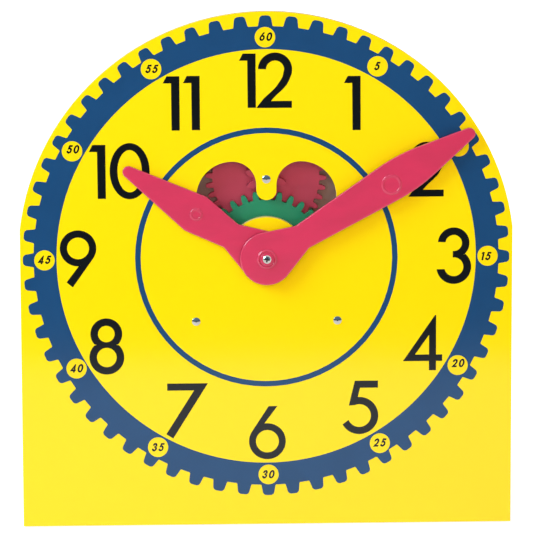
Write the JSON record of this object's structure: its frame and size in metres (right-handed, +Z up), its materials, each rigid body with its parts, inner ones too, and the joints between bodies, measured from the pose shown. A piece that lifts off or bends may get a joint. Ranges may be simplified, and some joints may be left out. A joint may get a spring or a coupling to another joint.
{
  "type": "geared teaching clock",
  "caption": "Arched demonstration clock for classrooms: red hands turned together by a gear train that shows through a window above the hub, on a folding wire stand.",
  "frame": {"origin": "centre of the bounding box's bottom face, on the table under the standing clock", "axes": "+X to the viewer's right along the board's bottom edge, +Y to the back, +Z up; the dial faces -Y and leans back 11 degrees"},
  "size_m": [0.3246, 0.072, 0.3375],
  "materials": {
    "dial_board": "hardboard, printed yellow and gloss-laminated on the face, bare brown at the edge and back",
    "clear_pane": "clear sheet",
    "green_gear": "moulded, satin",
    "red_gear": "moulded, satin",
    "red_hand": "moulded, satin",
    "nickel": "nickel-plated, bright",
    "steel": "turned or pressed, bare",
    "brass": "turned",
    "cover_paint": "baked enamel, satin",
    "wire": "zinc-plated drawn wire",
    "foot_rubber": "matt"
  },
  "bodies": {
    "case": {"face_board": "dial_board", "window_pane": "clear_pane", "back_cover": "cover_paint", "hub_bushing": "brass", "bushing_lock_ring": "steel", "rear_bushing": "brass", "idler_sleeve": "steel", "idler_rivet": "nickel", "cover_rivets": "nickel", "rivet_washers": "nickel", "stand_brackets": "steel"},
    "minute": {"minute_hand": "red_hand", "hub_screw": "nickel", "minute_arbor": "steel", "minute_pinion": "steel", "arbor_clip": "steel", "hand_washer": "steel", "spring_washer": "steel"},
    "idler": {"idler_gear": "red_gear"},
    "hour": {"hour_hand": "red_hand", "hour_tube": "brass", "hour_wheel": "green_gear"},
    "stand": {"stand_bail": "wire", "stand_sleeves": "foot_rubber"}
  },
  "joints": [
    {"name": "minute_turn", "type": "hinge", "parent": "case", "child": "minute", "pos_m": [0, -0.00162, 0.1779], "axis": [0, 0.9816, -0.1908], "continuous": true},
    {"name": "idler_turn", "type": "hinge", "parent": "case", "child": "idler", "pos_m": [0, 0.0083, 0.22895], "axis": [0, 0.9816, -0.1908], "continuous": true},
    {"name": "hour_turn", "type": "hinge", "parent": "case", "child": "hour", "pos_m": [0, -0.00162, 0.1779], "axis": [0, 0.9816, -0.1908], "continuous": true},
    {"name": "stand_fold", "type": "hinge", "parent": "case", "child": "stand", "pos_m": [0, 0.00203, 0.14796], "axis": [-1, 0, 0], "range_deg": [0, 22.9]}
  ],
  "couplings": [
    {"joint": "idler_turn", "follows": "minute_turn", "ratio": -0.33333},
    {"joint": "hour_turn", "follows": "minute_turn", "ratio": 0.083333}
  ]
}
